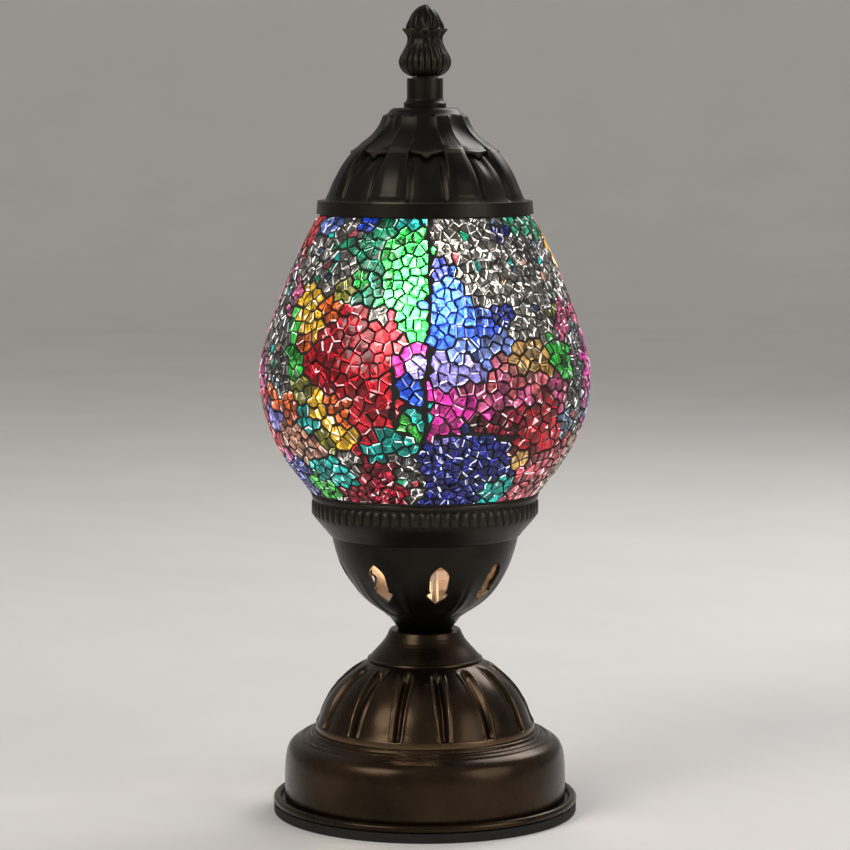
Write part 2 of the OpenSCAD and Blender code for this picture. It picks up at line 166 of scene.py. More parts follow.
def cut_away(piece, cutter):
    """Cuts the shape of cutter out of a piece, and removes the cutter."""
    modifier = piece.modifiers.new("cut", "BOOLEAN")
    modifier.operation = "DIFFERENCE"
    modifier.solver = "EXACT"
    modifier.object = cutter
    bpy.context.view_layer.update()
    graph = bpy.context.evaluated_depsgraph_get()
    whole = bpy.data.meshes.new_from_object(piece.evaluated_get(graph))
    piece.modifiers.clear()
    piece.data = whole
    bpy.data.objects.remove(cutter)


# Materials -----------------------------------------------------------------------------


class Material:
    """A Principled material and short ways to add the nodes used here."""

    def __init__(self, name, **values):
        self.data = bpy.data.materials.new(name)
        self.data.use_nodes = True
        self.tree = self.data.node_tree
        self.shader = self.tree.nodes["Principled BSDF"]
        for key, value in values.items():
            self.shader.inputs[key.replace("_", " ")].default_value = value
        self.place = self.tree.nodes.new("ShaderNodeTexCoord").outputs["Object"]

    def node(self, kind, **values):
        node = self.tree.nodes.new("ShaderNode" + kind)
        for key, value in values.items():
            if key in node.inputs:
                node.inputs[key].default_value = value
            else:
                setattr(node, key, value)
        return node

    def link(self, a, b):
        self.tree.links.new(a, b)

    def noise(self, scale, detail=3.0, stretch=None):
        """Noise with features about 1 / scale metres across."""
        node = self.node("TexNoise", Scale=scale, Detail=detail)
        source = self.place
        if stretch:
            mapping = self.node("Mapping")
            mapping.inputs["Scale"].default_value = stretch
            self.link(source, mapping.inputs["Vector"])
            source = mapping.outputs["Vector"]
        self.link(source, node.inputs["Vector"])
        return node.outputs["Fac"]

    def ramp(self, source, *stops):
        node = self.node("ValToRGB")
        elements = node.color_ramp.elements
        while len(elements) < len(stops):
            elements.new(0.5)
        for element, (place, colour) in zip(elements, stops):
            element.position = place
            element.color = (*colour, 1.0)
        self.link(source, node.inputs["Fac"])
        return node.outputs["Color"]

    def colour(self, output):
        self.link(output, self.shader.inputs["Base Color"])

    def glow(self, colour, strength):
        """Light given off, of a plain colour or of a node's colour output."""
        socket = self.shader.inputs["Emission Color"]
        if isinstance(colour, tuple):
            socket.default_value = (*colour, 1.0)
        else:
            self.link(colour, socket)
        self.shader.inputs["Emission Strength"].default_value = strength

    def roughness(self, source, low, high):
        node = self.node("MapRange")
        node.inputs["To Min"].default_value = low
        node.inputs["To Max"].default_value = high
        self.link(source, node.inputs["Value"])
        self.link(node.outputs["Result"], self.shader.inputs["Roughness"])

    def bump(self, source, strength, depth):
        """Bump of depth metres."""
        node = self.node("Bump", Strength=strength, Distance=depth)
        self.link(source, node.inputs["Height"])
        self.link(node.outputs["Normal"], self.shader.inputs["Normal"])

    def mix(self, factor, a, b, blend="MIX"):
        node = self.node("Mix", data_type="RGBA", blend_type=blend)
        for source, socket in ((factor, node.inputs["Factor"]), (a, node.inputs["A"]),
                               (b, node.inputs["B"])):
            if isinstance(source, bpy.types.NodeSocket):
                self.link(source, socket)
            elif isinstance(source, tuple):
                socket.default_value = (*source, 1.0)
            else:
                socket.default_value = source
        return node.outputs["Result"]


def metal(name, dark, light, low, high, worn=None):
    """Aged metal: cloudy patina and fine cast grain, brighter where corners are rubbed."""
    m = Material(name, Metallic=0.9)
    tone = m.ramp(m.noise(45.0, 4.0), (0.35, dark), (0.68, light))
    if worn:
        corners = m.ramp(m.node("NewGeometry").outputs["Pointiness"],
                         (0.51, (0.0, 0.0, 0.0)), (0.58, (0.6, 0.6, 0.6)))
        tone = m.mix(corners, tone, worn)
    m.colour(tone)
    m.roughness(m.noise(160.0, 5.0), low, high)
    m.bump(m.noise(1400.0, 2.0), 0.12, 0.0002)
    return m.data


def plain(name, colour, shade, roughness, grain, **values):
    """Moulded or pressed stuff with a slight mottle and a fine grain."""
    m = Material(name, **values)
    m.colour(m.ramp(m.noise(90.0), (0.3, shade), (0.7, colour)))
    m.roughness(m.noise(250.0), max(0.02, roughness - 0.06), roughness + 0.06)
    m.bump(m.noise(grain, 2.0), 0.15, 0.0001)
    return m.data


def turned_metal(name, colour, shade, roughness):
    """Bright metal with fine turning lines round the axis."""
    m = Material(name, Metallic=1.0)
    lines = m.noise(900.0, 2.0, stretch=(0.05, 0.05, 3.0))
    m.colour(m.ramp(lines, (0.3, shade), (0.7, colour)))
    m.roughness(lines, roughness - 0.05, roughness + 0.1)
    m.bump(lines, 0.1, 0.0001)
    return m.data


# The base's bronze is the cap's dark bronze painted lighter and browner: a painted lit copy
# standing in for the light that falls on the base
BASE_TONES = ((0.02, 0.013, 0.007), (0.05, 0.031, 0.017), 0.2, 0.34)
CAP_TONES = ((0.011, 0.01, 0.008), (0.024, 0.021, 0.016), 0.3, 0.46)
BASE_BRONZE = metal("base_bronze", *BASE_TONES)
BASE_RUBBED = metal("base_bronze_rubbed", *BASE_TONES, worn=(0.2, 0.125, 0.07))
CAP_BRONZE = metal("cap_bronze", *CAP_TONES)
CAP_RUBBED = metal("cap_bronze_rubbed", *CAP_TONES, worn=(0.09, 0.078, 0.055))
# Paler, warmer metal for the bowl's inside: painted light standing in for the bulb's warm light on
# the inner wall
PAINTED_LIT_INSIDE_METAL = metal("bowl_inside", (0.16, 0.11, 0.08), (0.4, 0.3, 0.23), 0.22, 0.42)
RUBBER = plain("rubber", (0.009, 0.009, 0.009), (0.004, 0.004, 0.004), 0.85, 1800.0)
IRON = plain("ballast_iron", (0.12, 0.12, 0.125), (0.05, 0.05, 0.055), 0.7, 500.0, Metallic=0.7)
STEEL = turned_metal("zinc_steel", (0.66, 0.65, 0.62), (0.42, 0.42, 0.4), 0.3)
BRASS = turned_metal("contact_brass", (0.75, 0.53, 0.2), (0.5, 0.33, 0.1), 0.28)
SCREW_METAL = turned_metal("bulb_screw_metal", (0.75, 0.75, 0.73), (0.5, 0.5, 0.48), 0.22)
CREAM = plain("holder_cream", (0.78, 0.68, 0.5), (0.68, 0.57, 0.39), 0.42, 1200.0)
CERAMIC = plain("holder_ceramic", (0.72, 0.69, 0.62), (0.6, 0.57, 0.5), 0.8, 700.0)


def clear_glass(name, tint, roughness, glow=0.0):
    m = Material(name, Transmission_Weight=1.0, IOR=1.45, Roughness=roughness)
    m.glow((1.0, 0.86, 0.66), glow)
    faint = tuple(0.94 * c for c in tint)
    m.colour(m.ramp(m.noise(60.0, 2.0), (0.3, faint), (0.7, tint)))
    m.bump(m.noise(70.0, 1.0), 0.08, 0.0003)
    return m.data


def glowing(name, colour, strength):
    m = Material(name, Roughness=0.5)
    m.colour(m.ramp(m.noise(400.0), (0.3, (0.9, 0.7, 0.3)), (0.7, colour)))
    m.glow(colour, strength)
    return m.data


GLOBE_GLASS = clear_glass("globe_clear_glass", (0.97, 0.98, 0.98), 0.02)
STEM_GLASS = clear_glass("bulb_stem_glass", (0.98, 0.97, 0.94), 0.05, glow=1.0)
FILAMENT = glowing("filament_glow", (1.0, 0.88, 0.7), 300.0)


GLARE_REACH = 12.0


def bulb_glass_material():
    """Clear glass that glares beside the filaments and fades above and below them."""
    m = Material("bulb_clear_glass", Transmission_Weight=1.0, IOR=1.45, Roughness=0.05)
    m.colour(m.ramp(m.noise(60.0, 2.0), (0.3, (0.93, 0.93, 0.9)), (0.7, (0.99, 0.98, 0.95))))
    low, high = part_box("bulb_filaments")
    height = m.node("MapRange")
    height.inputs["From Min"].default_value = low[2] - GLARE_REACH * MM
    height.inputs["From Max"].default_value = high[2] + GLARE_REACH * MM
    split = m.node("SeparateXYZ")
    m.link(m.place, split.inputs["Vector"])
    m.link(split.outputs["Z"], height.inputs["Value"])
    glare = m.ramp(height.outputs["Result"],
                   (0.0, (0.01, 0.008, 0.006)), (0.3, (0.15, 0.14, 0.12)),
                   (0.45, (0.5, 0.47, 0.42)), (0.62, (1.0, 0.96, 0.9)),
                   (0.85, (0.4, 0.38, 0.34)), (1.0, (0.05, 0.045, 0.04)))
    m.glow(glare, 18.0)
    return m.data


BULB_GLASS = bulb_glass_material()


def grout_material():
    m = Material("grout_black", Roughness=0.85)
    m.colour(m.ramp(m.noise(350.0, 4.0),
                    (0.3, (0.006, 0.005, 0.005)), (0.75, (0.03, 0.027, 0.024))))
    m.bump(m.noise(1200.0, 3.0), 0.4, 0.0002)
    return m.data


GROUT = grout_material()

NODE_MATERIALS = {
    "rubber_black": RUBBER, "base_bronze": BASE_BRONZE, "ballast_iron": IRON,
    "zinc_steel": STEEL, "holder_cream": CREAM, "holder_ceramic": CERAMIC,
    "contact_brass": BRASS, "bulb_screw_metal": SCREW_METAL, "bulb_clear_glass": BULB_GLASS,
    "filament_glow": FILAMENT, "cap_bronze": CAP_BRONZE, "globe_clear_glass": GLOBE_GLASS,
    "grout_black": GROUT, "chip_glass": GLOBE_GLASS,
}
for entry in frame["record"]["subparts"]:
    node = frame["nodes"][entry["node"]]
    node.data.materials.clear()
    node.data.materials.append(NODE_MATERIALS[entry["material_slot"]])
frame["nodes"]["bulb_stem"].data.materials[0] = STEM_GLASS
for name in ("finial_stud", "finial_washer"):
    frame["nodes"][name].data.materials[0] = CAP_BRONZE


# Levels and radii, from the frame ------------------------------------------------------

def node_z(name):
    low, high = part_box(name)
    return low[2] / MM, high[2] / MM


def node_r(name):
    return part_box(name)[1][0] / MM


DOME_Z, NECK_Z = node_z("base_dome")
DOME_R = node_r("base_dome")
DRUM_Z = node_z("base_drum")[0]
DRUM_R = node_r("base_drum")
BOWL_Z, BOWL_TOP = node_z("pierced_bowl")
BOWL_R = node_r("pierced_bowl")
COLLAR_R = node_r("reeded_collar")
MOSAIC_Z, MOSAIC_TOP = node_z("mosaic_chips")
GLOBE_R = node_r("mosaic_chips")
CAP_Z, STEM_Z = node_z("fluted_cap")
FINIAL_Z, FINIAL_TOP = node_z("finial")

# Gadrooned dome of the base ------------------------------------------------------------

GADROONS = 14
FIRST_GROOVE = 10.4
GROOVE_DEPTH = 2.0
NECK_R = 20.6
DOME_WALL = 2.6
DOME_STEPS = 52


def dome_section(azimuth):
    """Convex gadroons between narrow sunk grooves that stop short of both ends."""
    outline = bezier((DOME_R, DOME_Z + 2), (DOME_R - 2.3, DOME_Z + 5.9),
                     (DOME_R - 2.8, DOME_Z + 16.7), (NECK_R, NECK_Z), DOME_STEPS)
    a = folded(azimuth, FIRST_GROOVE, GADROONS)
    half = 180.0 / GADROONS
    points = [(DOME_R, DOME_Z)]
    for i, (r, z) in enumerate(outline[:-1]):
        s = i / DOME_STEPS
        r_next, z_next = outline[i + 1]
        length = math.hypot(r_next - r, z_next - z)
        out_r, out_z = (z_next - z) / length, -(r_next - r) / length
        groove_end = smooth_step(s, 0.02, 0.07) * (1.0 - smooth_step(s, 0.88, 0.97))
        lobe_end = smooth_step(s, 0.0, 0.2) * (1.0 - smooth_step(s, 0.75, 1.0))
        across = abs(a) * math.radians(1.0) * r
        wide = 1.0 + 0.35 * s
        groove = -GROOVE_DEPTH * bell(across, wide) * groove_end
        ridge = 0.42 * bell(across - 2.0 * wide, 0.42) * groove_end
        lobe = 0.55 * (math.sin(math.pi / 2 * abs(a) / half) - 1.0) * lobe_end
        d = groove + ridge + lobe
        points.append((r + d * out_r, z + d * out_z))
    points += [(NECK_R, NECK_Z), (8.0, NECK_Z), (8.0, NECK_Z - 1.6), (NECK_R - 2.0, NECK_Z - 1.6)]
    points += [(r - DOME_WALL, z - DOME_WALL) for r, z in outline[44:4:-4]]
    points.append((DOME_R - DOME_WALL, DOME_Z))
    return points


dome = add_turned("gadrooned_dome", dome_section, GADROONS * 44, BASE_RUBBED, "base",
                  sharp=(0, DOME_STEPS + 1, DOME_STEPS + 2, DOME_STEPS + 3))
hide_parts("base_dome")

# Drum of the base ----------------------------------------------------------------------

DRUM_WALL = 1.6
GROMMET_HOLE_R = 4.85
SHOULDER_STEPS = 20
BEAD_STEPS = 8
# The rows of the wall, the shoulder and the three beads come before the flat top's
DRUM_TOP_ROW = 3 + (SHOULDER_STEPS + 1) + 3 * (BEAD_STEPS + 1)


def bead(r, z, radius, start, end):
    """Points round a bead, from start to end degrees above the horizontal."""
    turns = (math.radians(start + (end - start) * i / BEAD_STEPS) for i in range(BEAD_STEPS + 1))
    return [(r + radius * math.cos(t), z + radius * math.sin(t)) for t in turns]


def drum_section(azimuth):
    """A straight wall, a round shoulder and three beads under the dome."""
    top = DOME_Z
    wall = [(DRUM_R, DRUM_Z), (DRUM_R, DRUM_Z + 0.3), (DRUM_R, DRUM_Z + 6.0)]
    shoulder = bezier((DRUM_R, DRUM_Z + 7.4), (DRUM_R, top - 6.2), (DRUM_R - 1.4, top - 4.5),
                      (DRUM_R - 5.3, top - 2.9), SHOULDER_STEPS)
    beads = bead(DRUM_R - 6.3, top - 3.0, 0.85, 35, 150) + bead(42.9, top - 2.1, 0.7, 20, 150)
    beads += bead(41.0, top - 1.0, 0.95, 10, 90)
    inside = [(38.0, top - 0.05), (20.0, top - 0.05), (20.0, top - 1.6), (DRUM_R - 8.0, top - 4.6),
              (DRUM_R - 2.6, top - 8.0), (DRUM_R - DRUM_WALL, DRUM_Z + 7.4),
              (DRUM_R - DRUM_WALL, DRUM_Z)]
    return wall + shoulder + beads + inside


def add_drum():
    drum = add_turned("beaded_drum", drum_section, 360, BASE_RUBBED, "base",
                      sharp=(0, DRUM_TOP_ROW, DRUM_TOP_ROW + 1))
    low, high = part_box("inlet_grommet")
    bpy.ops.mesh.primitive_cylinder_add(
        vertices=48, radius=GROMMET_HOLE_R * MM, depth=12.0 * MM,
        rotation=(math.radians(90.0), 0.0, 0.0),
        location=(0.0, (low[1] + high[1]) / 2, (low[2] + high[2]) / 2))
    cutter = bpy.context.object
    cutter.data.materials.append(BASE_RUBBED)
    cut_away(drum, cutter)
    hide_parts("base_drum")


add_drum()

# Pierced bowl --------------------------------------------------------------------------

VENTS = 8
FIRST_VENT = 10.0
VENT_W = 7.0
VENT_H = 17.0
VENT_RISE = 20.4
VENT_R = 26.3
CUT_INWARD = 8.0
CUT_OUTWARD = 7.0
WALL_LEAN = 25.0
BOWL_STEPS = 60
BOWL_RIM_ROW = BOWL_STEPS + 2


def bowl_section(azimuth):
    """Outside with shallow lobes between the vents, then the smooth inside."""
    outline = bezier((13.8, BOWL_Z + 5.2), (17.6, BOWL_Z + 8.4),
                     (BOWL_R - 5.1, BOWL_Z + 10.6), (BOWL_R, BOWL_TOP), BOWL_STEPS)
    around = abs(folded(azimuth, FIRST_VENT, VENTS)) / (180.0 / VENTS)
    points = [(9.6, BOWL_Z), (13.0, BOWL_Z + 4.7)]
    for i, (r, z) in enumerate(outline):
        s = i / BOWL_STEPS
        reach = smooth_step(s, 0.04, 0.2) * (1.0 - smooth_step(s, 0.62, 0.86))
        lobe = -0.55 * (1.0 - smooth_step(around, 0.5, 0.95)) - 0.25 * bell(around - 0.98, 0.09)
        points.append((r + lobe * reach, z - 0.4 * lobe * reach))
    inside = outline[:2:-4]
    points += [(r - 1.45, z + (0.6 if i else 0.0)) for i, (r, z) in enumerate(inside)]
    points += [(13.0, BOWL_Z + 6.8), (11.4, BOWL_Z + 5.8), (8.6, BOWL_Z + 2.6),
               (5.0, BOWL_Z + 2.6), (5.0, BOWL_Z)]
    return points


def vent_outline(w, h):
    """Pointed arch, a notch at each side and a barbed spear point, as seen from outside."""
    arch = bezier((w / 2, 0.2 * h), (w / 2, 0.34 * h), (0.22 * w, 0.44 * h), (0.0, h / 2), 10)
    spear = [(0.3 * w, -0.38 * h), (0.54 * w, -0.28 * h), (0.54 * w, -0.22 * h),
             (0.36 * w, -0.17 * h), (0.45 * w, -0.1 * h)]
    right = spear + arch
    return [(0.0, -h / 2)] + right + [(-x, y) for x, y in right[::-1] if x > 0.0]


def add_vent_cutter():
    """A prism across the bowl's wall for each vent, along the wall's lean."""
    lean = math.radians(WALL_LEAN)
    shape = vent_outline(VENT_W, VENT_H)
    n = len(shape)
    vertices, faces = [], []
    for k in range(VENTS):
        a = math.radians(FIRST_VENT + k * 360.0 / VENTS)
        first = len(vertices)
        for along in (-CUT_INWARD, CUT_OUTWARD):
            for x, y in shape:
                r = VENT_R + along * math.cos(lean) + y * math.sin(lean)
                z = BOWL_Z + VENT_RISE - along * math.sin(lean) + y * math.cos(lean)
                vertices.append(((r * math.sin(a) + x * math.cos(a)) * MM,
                                 (-r * math.cos(a) + x * math.sin(a)) * MM, z * MM))
        faces.append(tuple(first + i for i in reversed(range(n))))
        faces.append(tuple(first + n + i for i in range(n)))
        for i in range(n):
            j = (i + 1) % n
            faces.append((first + i, first + j, first + n + j, first + n + i))
    return add_mesh("vent_cutter", vertices, faces, CAP_BRONZE, False)


def add_bowl():
    columns = VENTS * 50
    bowl = add_turned("lobed_bowl", bowl_section, columns, CAP_BRONZE, "base",
                      sharp=(BOWL_RIM_ROW, BOWL_RIM_ROW + 1))
    # The inside of the bowl gets the paler metal, painted as lit by the bulb
    bowl.data.materials.append(PAINTED_LIT_INSIDE_METAL)
    for polygon in bowl.data.polygons:
        if polygon.index // columns > BOWL_RIM_ROW:
            polygon.material_index = 1
    cut_away(bowl, add_vent_cutter())
    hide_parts("pierced_bowl")


add_bowl()

# Reeded collar -------------------------------------------------------------------------

REEDS = 72
REED_DEPTH = 0.62
# Rows at the corners of the spigot and of the globe's seat
COLLAR_CORNERS = (0, 1, 2, 22, 23, 24)


def collar_section(azimuth):
    """Spigot, plain tapered band, round reeds, a groove and a smooth lip."""
    z = BOWL_TOP + 0.2
    r = COLLAR_R
    reed = REED_DEPTH * (1.0 - abs(math.cos(math.radians(azimuth * REEDS / 2))) ** 0.7)
    band = bezier((34.9, z + 0.5), (36.6, z + 2.8), (39.2, z + 5.4), (r - 0.7, z + 7.3), 8)
    points = [(30.9, z - 4.6), (30.9, z), (34.4, z)] + band
    points += [(r - 0.5 - 0.4 * reed, z + 7.7), (r - reed, z + 8.2), (r - reed, z + 10.4),
               (r - reed, z + 12.4), (r - 0.5 - 0.4 * reed, z + 12.9), (r - 0.75, z + 13.2),
               (r - 0.35, z + 13.7), (r - 0.1, z + 14.2), (r - 0.15, z + 15.2),
               (r - 0.4, z + 15.5), (r - 1.3, z + 15.5), (r - 1.3, z + 8.6), (36.0, z + 8.6),
               (36.0, z + 7.0), (31.5, z + 1.5), (29.7, z + 0.9), (29.7, z - 4.6)]
    return points


collar = add_turned("round_reeded_collar", collar_section, REEDS * 10, CAP_RUBBED, "shade",
                    sharp=COLLAR_CORNERS)
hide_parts("reeded_collar")

# Fluted cap ----------------------------------------------------------------------------

PETALS = 8
FIRST_TIP = 1.2
STRAP_HALF = 10.5
CHANNEL_HALF = 13.5
RIB_HEIGHT = 1.05
LOBE_HEIGHT = 1.15
LEDGE_Z = CAP_Z + 15.3
TIP_R = 26.7
LOWER_STEPS = 34
UPPER_STEPS = 30
CAP_INSIDE = bezier((34.6, CAP_Z), (31.2, CAP_Z + 5.4), (32.0, CAP_Z + 8.2),
                    (22.0, LEDGE_Z - 1.0), 8)
CAP_INSIDE += bezier((20.4, LEDGE_Z + 0.6), (14.6, LEDGE_Z + 5.6), (13.8, LEDGE_Z + 8.0),
                     (12.0, STEM_Z - 3.0), 7)


def cap_section(azimuth):
    """Lobes between flat straps on the lower dome, then a ledge with pointed petals over the
    straps. The petals are channels between ribs that rise from the lobes."""
    a = abs(folded(azimuth, FIRST_TIP, PETALS))
    half = 180.0 / PETALS
    rib = smooth_step(a, CHANNEL_HALF - 0.7, CHANNEL_HALF + 0.9)
    across = min(1.0, a / CHANNEL_HALF)
    pointed = 1.0 - smooth_step(a, 0.5, 5.5)
    edge_r = TIP_R - 1.5 * across ** 1.5
    edge_z = LEDGE_Z + 2.4 + 0.5 * across
    drop = (1.2 + 1.5 * pointed) * (1.0 - rib)
    lower = bezier((36.2, CAP_Z), (32.8, CAP_Z + 5.8), (34.2 - 0.6 * rib, CAP_Z + 8.6 + rib),
                   (edge_r - 1.0 * (1.0 - rib), edge_z - drop), LOWER_STEPS)
    lobe = max(0.0, (a - STRAP_HALF) / (half - STRAP_HALF))
    lobe_rise = LOBE_HEIGHT * min(1.0, 1.6 * lobe) ** 0.7
    points = []
    for i, (r, z) in enumerate(lower):
        s = i / LOWER_STEPS
        crease = -0.6 * bell(a - STRAP_HALF, 1.1) * (1.0 - smooth_step(s, 0.8, 0.95))
        end = 1.0 - (1.0 - rib) * smooth_step(s, 0.9, 1.0)
        d = (lobe_rise + crease) * smooth_step(s, 0.0, 0.14) * end
        points.append((r + 0.8 * d, z + 0.5 * d))
    foot_r, foot_z = points[-1]
    points.append((foot_r + 1.0 * (1.0 - rib), foot_z + 0.25 * drop))
    edge = (edge_r + 0.1, edge_z)
    start = lobe_rise * rib
    points.append((edge[0] + 0.8 * start, edge[1] + 0.5 * start))
    upper = bezier(edge, (16.2 + 0.4 * rib, LEDGE_Z + 8.1), (16.0, LEDGE_Z + 11.1),
                   (14.0, STEM_Z - 2.2), UPPER_STEPS)
    for i, (r, z) in enumerate(upper[1:]):
        s = (i + 1) / UPPER_STEPS
        crest = RIB_HEIGHT * (across ** 2.2 + 0.16 * bell(a - CHANNEL_HALF, 0.9))
        crest *= smooth_step(s, 0.0, 0.12)
        d = start * (1.0 - smooth_step(s, 0.0, 0.12)) + crest * (1.0 - smooth_step(s, 0.9, 1.0))
        points.append((r + 0.75 * d, z + 0.6 * d))
    points += [(13.3, STEM_Z - 1.9), (12.7, STEM_Z - 1.0), (11.8, STEM_Z - 0.3), (10.8, STEM_Z),
               (9.6, STEM_Z), (3.3, STEM_Z), (3.3, STEM_Z - 1.5), (10.2, STEM_Z - 1.5)]
    return points + CAP_INSIDE[::-1]


cap = add_turned("petalled_cap", cap_section, PETALS * 72, CAP_RUBBED, "shade",
                 sharp=(0, LOWER_STEPS, LOWER_STEPS + 2))
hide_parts("fluted_cap")

# Finial --------------------------------------------------------------------------------

LEAVES = 8
FLUTES = 24
WAIST_STEPS = 26
BUD_STEPS = 22


def finial_section(azimuth):
    """A fluted bulb, a waist, a cup of leaves with four large turned-out tips, and a bud."""
    cup = FINIAL_Z + 16.3
    low = bezier((4.9, FINIAL_Z), (7.9, FINIAL_Z + 0.7), (9.5, FINIAL_Z + 2.9),
                 (9.5, FINIAL_Z + 5.2), 14)
    waist = bezier((9.5, FINIAL_Z + 5.2), (9.4, FINIAL_Z + 8.6), (4.6, FINIAL_Z + 11.6),
                   (6.9, cup - 0.5), WAIST_STEPS)
    bud = bezier((6.1, cup + 0.5), (6.5, cup + 4.6), (3.6, FINIAL_TOP - 0.7),
                 (0.25, FINIAL_TOP), BUD_STEPS)
    groove = (1.0 - abs(math.sin(math.radians(azimuth * FLUTES / 2)))) ** 1.6
    leaf = abs(math.cos(math.radians(azimuth * LEAVES / 2)))
    large = 0.5 + 0.5 * math.cos(math.radians(azimuth * LEAVES / 2))
    points = [(3.2, FINIAL_Z)]
    for i, (r, z) in enumerate(low):
        fade = smooth_step(i, 1, 5)
        points.append((r - (0.95 * groove + 0.35 * (1.0 - leaf)) * fade, z))
    for i, (r, z) in enumerate(waist[1:]):
        s = (i + 1) / WAIST_STEPS
        fade = 1.0 - smooth_step(s, 0.3, 0.72)
        flutes = -(0.95 * groove + 0.35 * (1.0 - leaf)) * fade
        leaves = (0.9 * leaf - 0.75) * smooth_step(s, 0.6, 0.95)
        tips = (0.2 + 0.75 * large) * leaf ** 3 * smooth_step(s, 0.84, 1.0)
        points.append((r + flutes + leaves + tips, z + 0.6 * leaf ** 3 * smooth_step(s, 0.8, 1.0)))
    lip_r, lip_z = points[-1]
    points += [(lip_r + 0.08, lip_z + 0.4), (lip_r - 0.25, lip_z + 0.8),
               (6.3 - 0.6 * (1.0 - leaf), cup + 0.5)]
    tongue = 0.75 * large ** 2 * leaf ** 4
    for i, (r, z) in enumerate(bud):
        s = i / BUD_STEPS
        seam = 0.15 * (1.0 - leaf) ** 2 * math.sin(math.pi * min(1.0, 1.4 * s) / 1.4 + 0.3)
        points.append((r * (1.0 - seam) + tongue * (1.0 - smooth_step(s, 0.04, 0.34)), z))
    return points


finial = add_turned("leaf_finial", finial_section, FLUTES * 16, CAP_RUBBED, "finial",
                    rows_closed=False, sharp=(0,))
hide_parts("finial")

# Mosaic --------------------------------------------------------------------------------
# The chips are cells on the globe's skin, laid in coloured patches. A patch is an azimuth, a
# height above the mosaic's lower end and a radius. The back's patches are drawn at random.

PATCHES = {
    "clear": [(-38, 96, 3), (-47, 88, 5), (-56, 84, 4), (-44, 79, 4), (-38, 84, 3), (21, 94, 7),
              (26, 85, 6), (19, 76, 3), (40, 83, 7), (51, 74, 5), (32, 74, 4), (72, 86, 5),
              (40, 61, 3), (-30, 16, 3), (-18, 67, 2), (77, 75, 4), (-2, 5, 2), (9, 94, 3)],
    "emerald": [(-39, 92, 3), (-29, 91, 3), (-19, 97, 3), (54, 97, 3), (72, 95, 3), (-24, 85, 4),
                (-21, 77, 3), (-25, 72, 2)],
    "green": [(-10, 94, 4), (-14, 83, 3), (-13, 75, 4), (-27, 79, 2), (-4, 89, 4), (-5, 76, 5),
              (-7, 82, 4), (-5, 66, 4), (-12, 89, 3)],
    "blue": [(-31, 99, 3), (-5, 43, 3), (-1, 39, 2), (7, 71, 5), (13, 68, 4), (12, 77, 3),
             (9, 61, 4), (17, 62, 3), (24, 66, 2)],
    "pale_blue": [(-56, 98, 3), (10, 55, 3), (20, 55, 3), (27, 58, 2)],
    "navy": [(5, 84, 2), (40, 95, 2), (30, 69, 3), (1, 17, 3), (8, 5, 4), (20, 5, 4),
             (12, 21, 4), (21, 21, 4), (7, 11, 4), (18, 14, 4), (30, 15, 3)],
    "olive": [(-37, 76, 3), (-46, 39, 3), (-38, 24, 3), (58, 69, 2)],
    "yellow": [(-50, 74, 3), (-50, 66, 3), (-43, 63, 3), (-40, 39, 3), (-38, 34, 3),
               (-33, 28, 3), (-28, 24, 3)],
    "gold": [(39, 56, 3), (44, 51, 3), (35, 51, 3), (39, 17, 2)],
    "orange": [(-40, 70, 3), (-46, 57, 3), (-31, 37, 3), (-29, 32, 3), (-55, 35, 3),
               (-62, 38, 3), (-53, 30, 2)],
    "red": [(-28, 68, 3), (-25, 52, 11), (-18, 60, 5), (-12, 42, 6), (-12, 33, 5),
            (-24, 32, 5), (-39, 55, 5), (-27, 20, 3), (49, 34, 4), (45, 26, 5), (56, 23, 4),
            (39, 33, 3), (38, 23, 3)],
    "crimson": [(-19, 10, 5), (-14, 13, 3), (-35, 2, 3), (-22, 14, 3), (25, 28, 3), (34, 33, 3)],
    "maroon": [(27, 33, 3), (20, 30, 3), (33, 27, 2)],
    "salmon": [(-9, 57, 2), (29, 50, 2), (31, 43, 3), (41, 44, 3), (23, 44, 2),
               (54, 13, 4), (49, 5, 4), (59, 16, 3)],
    "peach": [(-52, 22, 4), (-61, 22, 3), (-45, 20, 3)],
    "pink": [(-64, 74, 2), (-64, 67, 2), (-75, 42, 2), (51, 42, 3), (55, 36, 2), (19, 39, 3),
             (15, 43, 3), (65, 64, 3), (25, 40, 3), (28, 47, 3), (36, 39, 3)],
    "magenta": [(-68, 14, 2), (-9, 49, 3), (-4, 56, 2), (3, 41, 3), (6, 31, 4), (11, 37, 4),
                (21, 35, 3)],
    "purple": [(-68, 29, 3), (8, 49, 4), (16, 48, 3), (6, 24, 2), (-2, 50, 2)],
    "teal": [(-45, 28, 3), (-19, 19, 3), (-13, 24, 3), (-6, 22, 3), (-9, 99, 3), (-2, 34, 3),
             (-41, 14, 4), (-36, 10, 3), (34, 5, 3), (27, 3, 2)],
    "leaf": [(-57, 63, 2), (-53, 55, 2), (-50, 48, 2), (-57, 5, 3), (-47, 3, 3), (-9, 33, 3),
             (-5, 29, 3), (54, 50, 3)],
    "smoke": [(-71, 56, 6), (-73, 70, 4), (-60, 41, 3), (-89, 83, 3), (65, 35, 4), (68, 47, 3),
              (73, 57, 4), (52, 90, 4), (83, 10, 3), (-8, 13, 4)],
    "steel": [(60, 28, 3), (57, 24, 3)],
    "tan": [(77, 11, 3), (76, 20, 3), (82, 4, 3)],
}

# Wide joints: the places (azimuth, height) along each, and its width
SEAMS = [
    ([(2, 103), (1.6, 95), (2.4, 88), (1.8, 80), (2.6, 72), (2, 62)], 0.7),
    ([(-11, 49), (-10, 42), (-11, 36), (-10, 30)], 1.4),
    ([(1.5, 56), (1, 52), (0.2, 46), (0.8, 41), (0.4, 36), (1, 31), (0, 26), (-3, 19)], 1.1),
    ([(-7, 36.5), (-3, 36.5), (0, 36)], 1.0),
    ([(4, 25.5), (14, 26.5), (24, 26), (33, 24.5)], 0.8),
    ([(-11, 28), (-6, 27)], 0.9),
    ([(13, 33), (17, 27)], 0.8),
]
